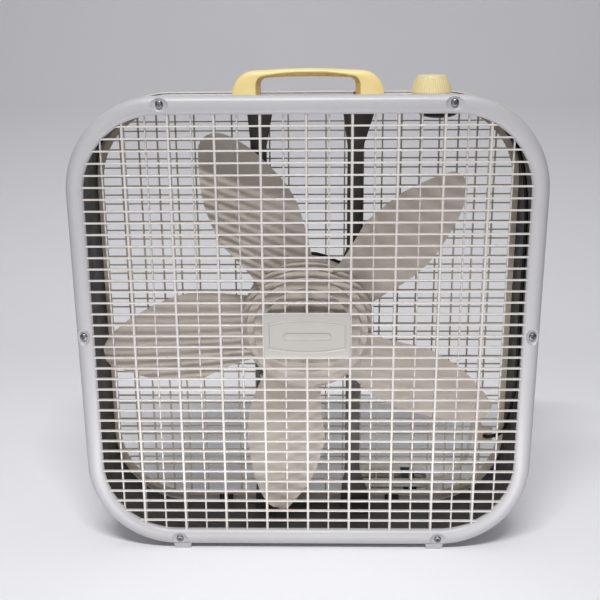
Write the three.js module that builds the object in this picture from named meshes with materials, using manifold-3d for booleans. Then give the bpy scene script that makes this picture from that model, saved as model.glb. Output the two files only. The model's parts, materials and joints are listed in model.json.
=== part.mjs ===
// A 20-inch box fan, in millimetres: +Z up, the front faces -Y, and the origin is on the floor
// below the middle of the case.
import * as THREE from 'three';
import { mergeVertices } from 'three/addons/utils/BufferGeometryUtils.js';
import Module from 'manifold-3d';

const wasm = await Module();
wasm.setup();

// Driving dimensions
const WIDTH = 528.4;
const HEIGHT = 537;
const DEPTH = 112;
const CORNER = 105;
const FOOT_DROP = 4.5;
const MID = FOOT_DROP + HEIGHT / 2; // height of the fan's axis
const FRONT = -DEPTH / 2;
const BACK = DEPTH / 2;
const GAP = 0.3; // clearance between touching pieces

// Grille mouldings
const BORDER_SIDE = 19;
const BORDER_TOP = 20;
const RIM_DEPTH = 16; // of the outer skirt
const LIP_DEPTH = 8.5; // of the inner edge
const LIP_WIDTH = 7.5;
const RIM_ROUND = 6;
const SKIRT = 1.4;
const CHANNEL_FLOOR = 5;
const BAR_SETBACK = 4;
const BAR_DEPTH = 4;
const BAR = 3;
const COLUMN = 49.62; // spacing of the front grille's thick uprights
const COARSE_ROW = 92; // spacing of the cross bars kept in the model of either lattice
const REAR_COLUMN = 89.2;
const FOOT = { x: 154, high: 8, wide: 26, narrow: 19 };
const BADGE = { width: 99.2, height: 52.5, depth: 6, proud: 1.2, recess: 0.9 };
const BADGE_FACE = { half: 44, shoulder: 15.2, crown: 24 }; // sunk panel with arched edges

// Sheet-steel band of the case
const WALL = 1.2;
const BAND_X = 254.2; // outer half width
const BAND_Z = 266.5; // outer half height
const BAND_CORNER = 97;
const BAND_Y = 50.5; // half depth
const EAR = { front: FRONT + LIP_DEPTH + GAP, half: 9, inner: 254, outer: 258 };

// Rotor
const TIP = 249.5;
const HUB = 79;
const HUB_SIDES = 20;
const SHAFT = 4;
const BLADE_THICK = 2.4;
const BLADE_TILT = Math.tan(THREE.MathUtils.degToRad(20));
const BLADE_PHASE = 117.3; // angle of the first blade, from +X towards +Z
const BLADE_MID = -2; // where a blade's midline is along Y

// Struts and the motor behind the blades
const STRUT = { inner: 47.5, outer: 65.5, front: 30, depth: 8, straight: 205, flared: 243, toe: 14 };
const STRUT_FLARE = { strut_left: [40.2, 69], strut_right: [42.2, 77.5] }; // edges at the walls
const STRUT_SCREW = { x: 56.5, y: STRUT.front - 7 }; // through the top and bottom walls
const STRUT_END = BAND_Z - WALL - GAP;
const BRACKET_FRONT = 28.3;
const BRACKET_THICK = 1.4;
const BRACKET_SCREW = { x: 57, z: 78 }; // from the axis
const BOLT = 38; // motor bolts, from the axis along X and along Z
const STACK = { outer: 45, inner: 24.5, front: -4, back: 16 };

// Controls and carrying handle on the top wall
const TOP = MID + BAND_Z;
const KNOB_X = 138.5;
const CUP_X = KNOB_X + 8; // the dust cover's centre
const HANDLE = { x: 1.8, half: 85, height: 28.5, depth: 28 };
const HANDLE_SCREW_X = 69;
const CAPACITOR = { x: 100, y: 8, halfX: 19, halfY: 8, corner: 7, height: 19 };

// Fasteners
const SCREW = { head: 4.2, shank: 1.5, hole: 1.85, pocket: 8, floor: 3.2, high: 2.2 };
const FRONT_SCREWS = [[-156, 260], [157, 260], [-256, 0], [256, 0], [-157, -260], [158, -260]];
const REAR_SCREWS = [[-110, 260], [110, 260], [-256, 60], [256, 60], [-110, -260], [110, -260]];

// Power cord: 1.83 m of 6 mm round flexible cord
const CORD = 6;
const RELIEF = { x: 228, z: 104, length: 28, plate: 11 };
const HANK = { x: 115, y: 99, low: 1.2, length: 119.5, width: 55, height: 19.6 };
const ROUTE = [
  [228, 80.6, 104], [228, 90, 103.8], [228, 100, 102], [227.8, 110, 97.5], [227.5, 119, 90],
  [227, 125.5, 79], [226.5, 129, 66], [226, 131, 53], [224.5, 132, 40], [220, 132, 27],
  [212, 131, 16], [200.5, 129, 8.6], [188, 126.5, 5.2], [176, 124.4, 4.3], [164.2, 123.5, 4.3],
];
const TIE = { x: 137, half: 9, strap: 0.8 };
const PLUG = { x: 66, z: 21.1, length: 27, width: 25, height: 13 };

// Insulated leads inside the case
const SUPPLY_LEAD = [
  [228, 47, 104], [231, 42.5, 104.5], [238, 40, 107], [245, 36, 112], [249, 28, 122],
  [249.1, 10, 150], [249.1, -8, 180], [249.1, -16, 220], [249.1, -16, 300], [249, -16, 380],
  [247.5, -12, 430],
  [240, -4, 472], [226, 2, 498], [205, 4, 519], [187, 4, 529.4],
  [176, 4, 533.3], [168, 3, 534.1], [153, 3, 534.1],
];
const MOTOR_LEAD = [
  [135, 11.4, 535.5], [135, 19, 535.5], [134, 26, 534.2], [126, 32, 531], [110, 36, 529],
  [90, 38, 526], [72, 40, 519], [61, 40, 502], [57, 38, 480], [56.5, 35, 450], [56.5, 35, 405],
  [55, 39, 380], [50.5, 42, 362], [47, 42, 348], [42, 39, 338.5], [33, 36.5, 341], [20, 35.5, 347],
  [4, 35, 350], [-8, 34, 343], [-12, 32.5, 326], [-11, 32, 306],
];

const fan = new THREE.Group();
const finishes = {
  white_plastic: { color: 0xd7d5d8, roughness: 0.28 },
  aged_plastic: { color: 0xcfc4b2, roughness: 0.4 },
  case_paint: { color: 0xb9b8ba, roughness: 0.45, metalness: 0.2 },
  dark_steel: { color: 0x3f3c39, roughness: 0.5, metalness: 0.5 },
  blade_plastic: { color: 0xbdb4ab, roughness: 0.42 },
  ivory_plastic: { color: 0xe8d9a6, roughness: 0.25 },
  zinc: { color: 0x9b9c9e, roughness: 0.35, metalness: 1 },
  bare_steel: { color: 0xa8a9ab, roughness: 0.3, metalness: 1 },
  lamination: { color: 0x6d6a66, roughness: 0.5, metalness: 0.8 },
  copper: { color: 0xb4673a, roughness: 0.35, metalness: 0.9 },
  black_plastic: { color: 0x1c1b1b, roughness: 0.45 },
  aluminium: { color: 0xb9bbbe, roughness: 0.4, metalness: 1 },
  cord_white: { color: 0xe6e4df, roughness: 0.5 },
  brass: { color: 0xc9a75b, roughness: 0.3, metalness: 1 },
};

function signedVolume(geometry) {
  const position = geometry.attributes.position;
  const index = geometry.index;
  const corners = [new THREE.Vector3(), new THREE.Vector3(), new THREE.Vector3()];
  let volume = 0;
  for (let i = 0; i < index.count; i += 3) {
    corners.forEach((corner, k) => corner.fromBufferAttribute(position, index.getX(i + k)));
    volume += corners[0].dot(corners[1].clone().cross(corners[2])) / 6;
  }
  return volume;
}

// Welds a geometry into one shell that faces outwards.
function welded(geometry) {
  const shell = geometry.clone();
  shell.deleteAttribute('normal');
  shell.deleteAttribute('uv');
  const joined = mergeVertices(shell, 1e-4);
  if (signedVolume(joined) < 0) {
    joined.setIndex(Array.from(joined.index.array).reverse());
  }
  return joined;
}

function toSolid(geometry) {
  const shell = welded(geometry);
  const vertProperties = new Float32Array(shell.attributes.position.array);
  const triVerts = new Uint32Array(shell.index.array);
  return new wasm.Manifold(new wasm.Mesh({ numProp: 3, vertProperties, triVerts }));
}

function toGeometry(solid) {
  const mesh = solid.getMesh();
  const geometry = new THREE.BufferGeometry();
  geometry.setAttribute('position', new THREE.BufferAttribute(mesh.vertProperties, 3));
  geometry.setIndex(Array.from(mesh.triVerts));
  return geometry;
}

const union = (first, ...rest) => rest.reduce((sum, one) => sum.add(toSolid(one)), toSolid(first));
const cut = (solid, ...tools) => tools.reduce((left, one) => left.subtract(toSolid(one)), solid);

function node(name, shape, finish) {
  const geometry = shape.isBufferGeometry ? welded(shape) : toGeometry(shape);
  const mesh = new THREE.Mesh(geometry, new THREE.MeshStandardMaterial(finishes[finish]));
  mesh.name = name;
  fan.add(mesh);
  return mesh;
}

// A box from its lowest to its highest corner.
function block(x0, x1, y0, y1, z0, z1) {
  const box = new THREE.BoxGeometry(x1 - x0, y1 - y0, z1 - z0);
  return box.translate((x0 + x1) / 2, (y0 + y1) / 2, (z0 + z1) / 2);
}

// Extrudes an outline drawn in X and Z from y0 back to y1.
function slab(shape, y0, y1, options = {}) {
  const bevel = options.bevelEnabled ? options.bevelThickness : 0;
  const settings = { bevelEnabled: false, curveSegments: 6, depth: y1 - y0 - 2 * bevel, ...options };
  return new THREE.ExtrudeGeometry(shape, settings).rotateX(Math.PI / 2).translate(0, y1 - bevel, 0);
}

// Extrudes an outline drawn in X and Y from z0 up to z1.
function plank(shape, z0, z1, curveSegments = 6) {
  const settings = { bevelEnabled: false, curveSegments, depth: z1 - z0 };
  return new THREE.ExtrudeGeometry(shape, settings).translate(0, 0, z0);
}

// Turns a profile of [radius, position] pairs about the Y axis, or about Z.
function turned(profile, sides, axis = 'y') {
  const points = profile.map(([radius, along]) => new THREE.Vector2(radius, along));
  const geometry = new THREE.LatheGeometry(points, sides);
  return axis === 'z' ? geometry.rotateX(Math.PI / 2) : geometry;
}

// A round bar along Y, or along Z.
function rod(radius, from, to, sides = 12, axis = 'y') {
  return turned([[0, from], [radius, from], [radius, to], [0, to]], sides, axis);
}

function ring(inner, outer, from, to, sides) {
  const profile = [[inner, from], [outer, from], [outer, to], [inner, to], [inner, from]];
  return turned(profile, sides);
}

function roundedRect(halfX, halfZ, radius, Kind = THREE.Shape) {
  const path = new Kind();
  path.moveTo(halfX, radius - halfZ);
  path.absarc(halfX - radius, halfZ - radius, radius, 0, Math.PI / 2);
  path.absarc(radius - halfX, halfZ - radius, radius, Math.PI / 2, Math.PI);
  path.absarc(radius - halfX, radius - halfZ, radius, Math.PI, Math.PI * 1.5);
  path.absarc(halfX - radius, radius - halfZ, radius, Math.PI * 1.5, Math.PI * 2);
  return path;
}

function frameShape(outerX, outerZ, outerRadius, innerX, innerZ, innerRadius) {
  const shape = roundedRect(outerX, outerZ, outerRadius);
  shape.holes.push(roundedRect(innerX, innerZ, innerRadius, THREE.Path));
  return shape;
}

// A closed outline through a list of points.
function polygon(points) {
  const shape = new THREE.Shape();
  points.forEach(([x, y], i) => (i ? shape.lineTo(x, y) : shape.moveTo(x, y)));
  shape.closePath();
  return shape;
}

// A slab of a rounded rectangle.
const panelSlab = (halfX, halfZ, radius, y0, y1) => slab(roundedRect(halfX, halfZ, radius), y0, y1);

// One grille moulding for the front, drawn about the fan's axis: a rounded rim with a channel
// behind it for the band's edge, a lattice, six screw pockets and two feet.
function moulding(columns, rows, screws) {
  const innerX = WIDTH / 2 - BORDER_SIDE;
  const innerZ = HEIGHT / 2 - BORDER_TOP;
  const innerCorner = CORNER - BORDER_SIDE;
  const rimShape = frameShape(WIDTH / 2, HEIGHT / 2, CORNER, innerX, innerZ, innerCorner);
  const rim = slab(rimShape, FRONT, FRONT + RIM_DEPTH + RIM_ROUND, {
    bevelEnabled: true,
    bevelThickness: RIM_ROUND,
    bevelSize: RIM_ROUND,
    bevelOffset: -RIM_ROUND,
    bevelSegments: 2,
    curveSegments: 6,
  });
  const bars = FRONT + BAR_SETBACK;
  const barsBack = bars + BAR_DEPTH;
  const foot = polygon([
    [-FOOT.wide / 2, FOOT.high], [-FOOT.narrow / 2, -FOOT_DROP],
    [FOOT.narrow / 2, -FOOT_DROP], [FOOT.wide / 2, FOOT.high],
  ]);
  const feet = [-FOOT.x, FOOT.x].map((x) => (
    slab(foot, FRONT + SKIRT, FRONT + RIM_DEPTH).translate(x, 0, -HEIGHT / 2)
  ));
  const half = BAR / 2;
  const uprights = columns.map((x) => block(x - half, x + half, bars, barsBack, -HEIGHT, HEIGHT));
  const cross = rows.map((z) => block(-WIDTH, WIDTH, bars, barsBack, z - half, z + half));
  const opening = panelSlab(innerX + 2, innerZ + 2, innerCorner + 2, bars, barsBack);
  const lattice = union(...uprights, ...cross).intersect(toSolid(opening));
  const body = union(rim, ...feet).add(lattice);
  const back = FRONT + RIM_DEPTH;
  const lipX = innerX + LIP_WIDTH;
  const lipZ = innerZ + LIP_WIDTH;
  const lipCorner = innerCorner + LIP_WIDTH;
  const channelShape = frameShape(
    WIDTH / 2 - SKIRT, HEIGHT / 2 - SKIRT, CORNER - SKIRT, lipX, lipZ, lipCorner,
  );
  const channel = slab(channelShape, FRONT + CHANNEL_FLOOR, back + 1);
  const recess = panelSlab(lipX + GAP, lipZ + GAP, lipCorner + GAP, FRONT + LIP_DEPTH, back + 1);
  const trimming = block(-WIDTH, WIDTH, back, back + RIM_DEPTH, -HEIGHT, HEIGHT);
  const pockets = screws.flatMap(([x, z]) => [
    rod(SCREW.pocket, FRONT - 1, FRONT + SCREW.floor, 8).translate(x, 0, z),
    rod(SCREW.hole, FRONT, FRONT + 10, 8).translate(x, 0, z),
  ]);
  return cut(body, trimming, channel, recess, ...pockets);
}

function frontGrille() {
  const columns = [-4, -3, -2, -1, 0, 1, 2, 3, 4].map((k) => k * COLUMN);
  const rows = [-2, -1, 0, 1, 2].map((k) => k * COARSE_ROW);
  const front = FRONT + BAR_SETBACK - BADGE.proud;
  const plate = block(
    -BADGE.width / 2, BADGE.width / 2, front, front + BADGE.depth, -BADGE.height / 2, BADGE.height / 2,
  );
  const { half, shoulder, crown } = BADGE_FACE;
  const face = new THREE.Shape();
  face.moveTo(-half, -shoulder);
  face.quadraticCurveTo(0, -crown, half, -shoulder);
  face.lineTo(half, shoulder);
  face.quadraticCurveTo(0, crown, -half, shoulder);
  face.closePath();
  const panel = slab(face, front - 1, front + BADGE.recess);
  const grille = moulding(columns, rows, FRONT_SCREWS).add(toSolid(plate));
  const solid = cut(grille, panel);
  node('front_grille', solid, 'white_plastic').position.z = MID;
}

function rearGrille() {
  const columns = [-2, -1, 0, 1, 2].map((k) => k * REAR_COLUMN);
  const rows = [-2, -1, 0, 1, 2].map((k) => k * COARSE_ROW);
  const turnedScrews = REAR_SCREWS.map(([x, z]) => [-x, z]);
  const bars = FRONT + BAR_SETBACK;
  const { x, plate } = RELIEF;
  const z = RELIEF.z - MID;
  const seat = block(-x - plate, -x + plate, bars, bars + BAR_DEPTH, z - plate, z + plate);
  const stub = block(-247, -x, bars, bars + BAR_DEPTH, z - BAR, z + BAR);
  const inlet = rod(CORD / 2, FRONT, 0, 10).translate(-x, 0, z);
  const grille = moulding(columns, rows, turnedScrews).add(union(seat, stub));
  const solid = cut(grille, inlet);
  const mesh = node('rear_grille', solid, 'aged_plastic');
  mesh.rotation.z = Math.PI;
  mesh.position.z = MID;
}

// Small bent ears that the grille screws go through.
function ears(screws, y) {
  return screws.map(([x, z]) => {
    const upright = Math.abs(x) > BAND_X;
    const side = Math.sign(upright ? x : z);
    const ends = upright ? [BAND_X - WALL, EAR.outer] : [BAND_Z - WALL / 2, EAR.inner];
    const [low, high] = ends.map((end) => side * end).sort((one, other) => one - other);
    return upright ? block(low, high, y, y + WALL, z - EAR.half, z + EAR.half)
      : block(x - EAR.half, x + EAR.half, y, y + WALL, low, high);
  });
}

function caseBand() {
  const shape = frameShape(
    BAND_X, BAND_Z, BAND_CORNER, BAND_X - WALL, BAND_Z - WALL, BAND_CORNER - WALL,
  );
  const band = slab(shape, -BAND_Y, BAND_Y);
  const rearEar = -EAR.front - WALL;
  const frontEars = ears(FRONT_SCREWS, EAR.front);
  const rearEars = ears(REAR_SCREWS, rearEar);
  const screwHoles = [...FRONT_SCREWS, ...REAR_SCREWS].map(([x, z], i) => {
    const y = i < FRONT_SCREWS.length ? EAR.front : rearEar;
    return rod(SCREW.hole, y - 1, y + WALL + 1, 8).translate(x, 0, z);
  });
  const wallHoles = [];
  for (const side of [-1, 1]) {
    for (const end of [-1, 1]) {
      const strutHole = rod(SCREW.hole, -2, 2, 10, 'z');
      wallHoles.push(strutHole.translate(side * STRUT_SCREW.x, STRUT_SCREW.y, end * BAND_Z));
    }
    const handleHole = rod(SCREW.hole, -2, 2, 10, 'z');
    wallHoles.push(handleHole.translate(HANDLE.x + side * HANDLE_SCREW_X, 0, BAND_Z));
  }
  wallHoles.push(rod(5.4, -2, 2, 12, 'z').translate(KNOB_X, 0, BAND_Z));
  const solid = cut(union(band, ...frontEars, ...rearEars), ...screwHoles, ...wallHoles);
  node('case_band', solid, 'case_paint').position.z = MID;
}

// One blade outline in the plane of the disc, its midline along +X, from the hub to a blunt tip.
function bladeShape() {
  const left = [[74, 21.5], [89, 18.7], [99, 17.9], [115, 17.4], [143, 17], [165, 14], [190, 11],
    [216, 7], [238, 3.8], [246, 2.4], [TIP, 1]];
  const right = [[TIP, -1], [246, -2.9], [238, -5.6], [216, -10], [190, -14.3], [165, -19],
    [143, -22.4], [120, -25], [100, -27.2], [74, -32]];
  const shape = new THREE.Shape();
  [...left, ...right].forEach(([radius, degrees], i) => {
    const angle = THREE.MathUtils.degToRad(degrees);
    const point = [radius * Math.cos(angle), radius * Math.sin(angle)];
    return i ? shape.lineTo(...point) : shape.moveTo(...point);
  });
  shape.closePath();
  return shape;
}

function blade(turn) {
  const geometry = slab(bladeShape(), -BLADE_THICK / 2, BLADE_THICK / 2);
  const position = geometry.attributes.position;
  for (let i = 0; i < position.count; i += 1) {
    const lean = -position.getZ(i) * BLADE_TILT;
    position.setY(i, position.getY(i) + lean + BLADE_MID);
  }
  return geometry.rotateY(-THREE.MathUtils.degToRad(turn));
}

function rotor() {
  const hub = turned([
    [0, -36], [38, -36], [41, -34], [50, -33], [53, -29.5], [61, -28], [64, -23.5], [70, -21],
    [72.5, -15], [HUB - 1.5, -12], [HUB, -8], [HUB, 12], [HUB - 2.5, 12], [HUB - 2.5, -7],
    [69, -12.5], [60, -21], [49, -28], [38, -31.5], [11, -31.5], [11, -26], [SHAFT + GAP, -26],
    [SHAFT + GAP, -33], [0, -33],
  ], HUB_SIDES);
  const blades = [0, 1, 2, 3, 4].map((k) => blade(BLADE_PHASE - 72 * k));
  const inside = turned([
    [0, -31.4], [38, -31.4], [49, -27.9], [60, -20.9], [69, -12.4], [HUB - 2.5, -6.9],
    [HUB - 2.5, 40], [0, 40],
  ], HUB_SIDES);
  const boss = ring(SHAFT + GAP, 11, -33, -26, 16);
  const solid = union(hub, ...blades).subtract(toSolid(inside)).add(toSolid(boss));
  node('fan_blade', solid, 'blade_plastic').position.z = MID;
  node('motor_shaft', rod(SHAFT, -32.6, 34, 12), 'bare_steel').position.z = MID;
  node('blade_clip', ring(SHAFT + GAP, 9, -25.7, -23.5, 12), 'zinc').position.z = MID;
  node('rotor_core', ring(SHAFT + GAP, 23.6, -5, 17, 16), 'aluminium').position.z = MID;
}

function motor() {
  const ear = (x, z, y0, y1) => block(x - 6.5, x + 6.5, y0, y1, z - 6.5, z + 6.5);
  const corners = [[-1, 1], [1, 1], [-1, -1], [1, -1]].map(([sx, sz]) => [sx * BOLT, sz * BOLT]);
  const bellFront = turned([
    [9, -22.5], [13, -22.5], [15, -18], [40, -16], [47, -11], [49, -6], [49, 1], [STACK.outer + GAP, 1],
    [STACK.outer + GAP, -6.5], [44, -10], [38, -13.4], [14, -14.8], [9, -14.8], [9, -22.5],
  ], 16);
  const bellRear = turned([
    [STACK.outer + GAP, 11], [49, 11], [49, 17], [47, 22], [40, 26], [15, 28], [9, 28], [9, 22.8],
    [38, 22.8], [44, 19.5], [STACK.outer + GAP, 17], [STACK.outer + GAP, 11],
  ], 16);
  const drills = corners.map(([x, z]) => rod(2.4, -9, 60, 8).translate(x, 0, z));
  const room = rod(STACK.outer + GAP, -6.4, 17, 16);
  const front = cut(union(bellFront, ...corners.map(([x, z]) => ear(x, z, -4, 1))), room, ...drills);
  const rear = cut(union(bellRear, ...corners.map(([x, z]) => ear(x, z, 11, 28))), room, ...drills);
  node('motor_bell_front', front, 'black_plastic').position.z = MID;
  node('motor_bell_rear', rear, 'black_plastic').position.z = MID;
  const stack = ring(STACK.inner, STACK.outer - 0.5, STACK.front, STACK.back, 16);
  node('stator_core', stack, 'lamination').position.z = MID;
  node('winding_front', ring(28, 37.5, -12.6, STACK.front - GAP, 16), 'copper').position.z = MID;
  node('winding_rear', ring(28, 37.5, STACK.back + GAP, 22.3, 16), 'copper').position.z = MID;
  node('bearing_front', ring(SHAFT + GAP, 8.7, -22, -15.2, 10), 'bare_steel').position.z = MID;
  node('bearing_rear', ring(SHAFT + GAP, 8.7, 23.2, 27.8, 10), 'bare_steel').position.z = MID;
  corners.forEach(([x, z], i) => {
    const bolt = turned([
      [0, -7.4], [4, -7.4], [4, -4 - GAP], [2, -4 - GAP], [2, 31.5], [0, 31.5],
    ], 8);
    node(`motor_bolt_${i + 1}`, bolt, 'zinc').position.set(x, 0, MID + z);
  });
}

// Plate between the struts that the motor bolts to: a waist of the motor's size and four ears.
function motorBracket() {
  const quarter = [[0, 74], [22, 74], [47, 62], [50, 90], [64, 90], [64, 0]];
  const right = quarter.concat(quarter.slice(0, -1).reverse().map(([x, z]) => [x, -z]));
  const left = right.slice(1, -1).reverse().map(([x, z]) => [-x, z]);
  const shape = polygon([...right, ...left]);
  const bore = new THREE.Path();
  bore.absarc(0, 0, 17, 0, Math.PI * 2);
  shape.holes.push(bore);
  const holes = [[-1, 1], [1, 1], [-1, -1], [1, -1]].flatMap(([sx, sz]) => [
    rod(2.4, 20, 50, 8).translate(sx * BOLT, 0, sz * BOLT),
    rod(SCREW.hole, 20, 50, 10).translate(sx * BRACKET_SCREW.x, 0, sz * BRACKET_SCREW.z),
  ]);
  const plate = slab(shape, BRACKET_FRONT, BRACKET_FRONT + BRACKET_THICK, { curveSegments: 10 });
  node('motor_bracket', cut(toSolid(plate), ...holes), 'dark_steel').position.z = MID;
}

// A channel-section strut from the bottom wall to the top wall, flared and bent over at its ends.
function strut(name, side) {
  const { inner, outer, front, depth, straight, flared } = STRUT;
  const [near, far] = STRUT_FLARE[name];
  const half = [[inner, 0], [inner, straight], [near, flared], [near, STRUT_END], [far, STRUT_END],
    [far, flared], [outer, straight], [outer, 0]];
  const outline = half.concat(half.slice(1, -1).reverse().map(([x, z]) => [x, -z]));
  const web = slab(polygon(outline.map(([x, z]) => [side * x, z])), front, front + WALL);
  const [left, right] = [side * near, side * far].sort((one, other) => one - other);
  const flange = (x) => block(
    side * x - WALL / 2, side * x + WALL / 2, front, front + depth, -straight, straight,
  );
  const toe = (end) => {
    const [low, high] = [end * STRUT_END, end * (STRUT_END - WALL)].sort((one, other) => one - other);
    return block(left, right, front - STRUT.toe, front + WALL, low, high);
  };
  const holes = [1, -1].flatMap((end) => [
    rod(SCREW.hole, -3, 3, 10, 'z').translate(side * STRUT_SCREW.x, STRUT_SCREW.y, end * STRUT_END),
    rod(SCREW.hole, front - 2, front + 3, 10)
      .translate(side * BRACKET_SCREW.x, 0, end * BRACKET_SCREW.z),
  ]);
  const body = union(web, flange(inner + WALL / 2), flange(outer - WALL / 2), toe(1), toe(-1));
  node(name, cut(body, ...holes), 'dark_steel').position.z = MID;
}

function strutScrews() {
  const profile = [[0, -6], [SCREW.shank, -6], [SCREW.shank, GAP], [3.6, GAP], [3.2, 2], [0, 2.3]];
  let count = 0;
  for (const side of [-1, 1]) {
    for (const end of [-1, 1]) {
      count += 1;
      const screw = turned(profile, 10, 'z');
      if (end < 0) {
        screw.rotateX(Math.PI);
      }
      const mesh = node(`strut_screw_${count}`, screw, 'zinc');
      mesh.position.set(side * STRUT_SCREW.x, STRUT_SCREW.y, MID + end * BAND_Z);
      const tie = turned([[0, -2.4], [3.4, -2], [3.4, -GAP], [SCREW.shank, -GAP],
        [SCREW.shank, 5], [0, 5]], 10);
      const bracketScrew = node(`bracket_screw_${count}`, tie, 'zinc');
      bracketScrew.position.set(
        side * BRACKET_SCREW.x, BRACKET_FRONT, MID + end * BRACKET_SCREW.z,
      );
    }
  }
}

function grilleScrews() {
  const floor = FRONT + SCREW.floor + GAP / 2;
  const profile = [[0, -SCREW.high], [2.4, -SCREW.high], [SCREW.head, -GAP], [SCREW.shank, -GAP],
    [SCREW.shank, 7], [0, 7]];
  FRONT_SCREWS.forEach(([x, z], i) => {
    node(`front_screw_${i + 1}`, turned(profile, 8), 'zinc').position.set(x, floor, MID + z);
  });
  REAR_SCREWS.forEach(([x, z], i) => {
    const mesh = node(`rear_screw_${i + 1}`, turned(profile, 8), 'zinc');
    mesh.rotation.z = Math.PI;
    mesh.position.set(x, -floor, MID + z);
  });
}

// Carrying handle: domed shoulders and a thin, slightly arched bar between them.
function handle() {
  const { x, half, height, depth } = HANDLE;
  const low = -12;
  const outer = [[half, low], [half, 0], [half - 2.7, 9.8], [half - 9.8, 19.4], [half - 18.7, 24.2],
    [half - 35, 26.2], [half - 55, 27.6], [0, height]];
  const inner = [[0, 19.4], [half - 56, 18.9], [half - 42, 18], [half - 36, 16.8], [half - 33, 13.6],
    [half - 32, 8], [half - 32, low]];
  const shape = polygon([
    ...outer, ...outer.slice(0, -1).reverse().map(([across, z]) => [-across, z]),
    ...inner.slice(1).reverse().map(([across, z]) => [-across, z]), ...inner,
  ]);
  const bow = slab(shape, -depth / 2, depth / 2, {
    bevelEnabled: true,
    bevelThickness: 6,
    bevelSize: 3,
    bevelOffset: -3,
    bevelSegments: 2,
  });
  const holes = [-1, 1].map((side) => (
    rod(SCREW.hole, -1, 12, 10, 'z').translate(side * HANDLE_SCREW_X, 0, 0)
  ));
  const solid = cut(toSolid(bow), block(-100, 100, -40, 40, -40, GAP), ...holes);
  node('handle', solid, 'ivory_plastic').position.set(x, 0, TOP);
  [-1, 1].forEach((side, i) => {
    const screw = turned([[0, -WALL - 3], [3.8, -WALL - 2.6], [3.8, -WALL - GAP],
      [SCREW.shank, -WALL - GAP], [SCREW.shank, 11], [0, 11]], 10, 'z');
    const name = `handle_screw_${['left', 'right'][i]}`;
    node(name, screw, 'zinc').position.set(x + side * HANDLE_SCREW_X, 0, TOP);
  });
}

// Rotary speed switch under the top wall, its bush through the wall, and the knob on its stem.
function controls() {
  const skirt = turned([[0, 3], [8, 3], [8, 0.8], [22.6, 0.8], [23, 3], [17.4, 18.2], [15.5, 19.8],
    [8, 20.9], [0, 21.3]], 24, 'z');
  const knob = cut(toSolid(skirt), rod(3.5, 0, 14, 10, 'z'));
  node('speed_knob', knob, 'ivory_plastic').position.set(KNOB_X, 0, TOP);
  const stem = turned([[0, -5], [3.2, -5], [3.2, 13.5], [0, 13.5]], 10, 'z');
  node('switch_stem', stem, 'bare_steel').position.set(KNOB_X, 0, TOP);
  const under = -WALL - GAP;
  const body = union(
    block(-9, 11, -11, 11, under - 14, under),
    rod(5, under - 1, 2.4, 12, 'z'),
  );
  const terminals = [-7, -2.5, 2.5, 7].map((x) => block(x - 0.4, x + 0.4, -3, 3, under - 19, under - 13));
  const switchBody = terminals.reduce((sum, one) => sum.add(toSolid(one)), body);
  const bored = cut(switchBody, rod(3.5, -5.6, 4, 10, 'z'));
  node('rotary_switch', bored, 'black_plastic').position.set(KNOB_X, 0, TOP);
  const nut = cut(toSolid(rod(7.6, GAP, 2.4, 6, 'z')), rod(5.3, -1, 4, 12, 'z'));
  node('switch_nut', nut, 'zinc').position.set(KNOB_X, 0, TOP);
  const cup = turned([
    [21.6, -8.3], [22.6, -8.3], [22.6, -20.6], [21, -22], [13, -25], [0, -26.2], [0, -25.2],
    [12.6, -24], [20.4, -21.2], [21.6, -20], [21.6, -8.3],
  ], 16, 'z');
  node('switch_cover', cup, 'black_plastic').position.set(CUP_X, 0, TOP);
}

function capacitor() {
  const { x, y, halfX, halfY, corner, height } = CAPACITOR;
  const can = plank(roundedRect(halfX, halfY, corner), 0, height, 4);
  node('run_capacitor', can, 'black_plastic').position.set(x, y, TOP - WALL - GAP - height);
}

// Solid tube of one radius along a list of points.
function tube(route, radius, sides, steps) {
  const section = new THREE.Shape();
  for (let i = 0; i < sides; i += 1) {
    const angle = (i / sides) * Math.PI * 2;
    const point = [radius * Math.cos(angle), radius * Math.sin(angle)];
    if (i) {
      section.lineTo(...point);
    } else {
      section.moveTo(...point);
    }
  }
  section.closePath();
  const extrudePath = new THREE.CatmullRomCurve3(route.map((point) => new THREE.Vector3(...point)));
  return new THREE.ExtrudeGeometry(section, { extrudePath, steps, bevelEnabled: false });
}

function leads() {
  node('supply_lead', tube(SUPPLY_LEAD, 2.4, 6, 24), 'black_plastic');
  node('motor_lead', tube(MOTOR_LEAD, 2, 6, 34), 'black_plastic');
}

function cord() {
  const relief = turned([
    [0, 0], [6.2, 0], [6.2, 3], [4.8, 4], [3.6, RELIEF.length], [0, RELIEF.length],
  ], 12);
  node('cord_relief', relief, 'cord_white').position.set(RELIEF.x, BACK - BAR_SETBACK + GAP, RELIEF.z);
  node('cord_tube', tube(ROUTE, CORD / 2, 8, 20), 'cord_white');
}

// The rest of the cord folded on the floor, the tie around it, and the plug lying on top.
function hank() {
  const { x, y, low, length, width, height } = HANK;
  const end = width / 2;
  const flat = length / 2 - end;
  const loop = new THREE.Shape();
  loop.moveTo(flat, -end);
  loop.absarc(flat, 0, end, -Math.PI / 2, Math.PI / 2);
  loop.absarc(-flat, 0, end, Math.PI / 2, Math.PI * 1.5);
  node('cord_hank', plank(loop, 0, height, 8), 'cord_white').position.set(x, y, low);
  const { half, strap } = TIE;
  const side = end + GAP;
  const top = low + height + GAP;
  const tie = cut(
    toSolid(block(-half, half, -side - strap, side + strap, 0, top + strap)),
    block(-half - 1, half + 1, -side, side, strap, top),
  );
  node('cord_tie', tie, 'black_plastic').position.set(TIE.x, y, 0);
}

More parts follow.
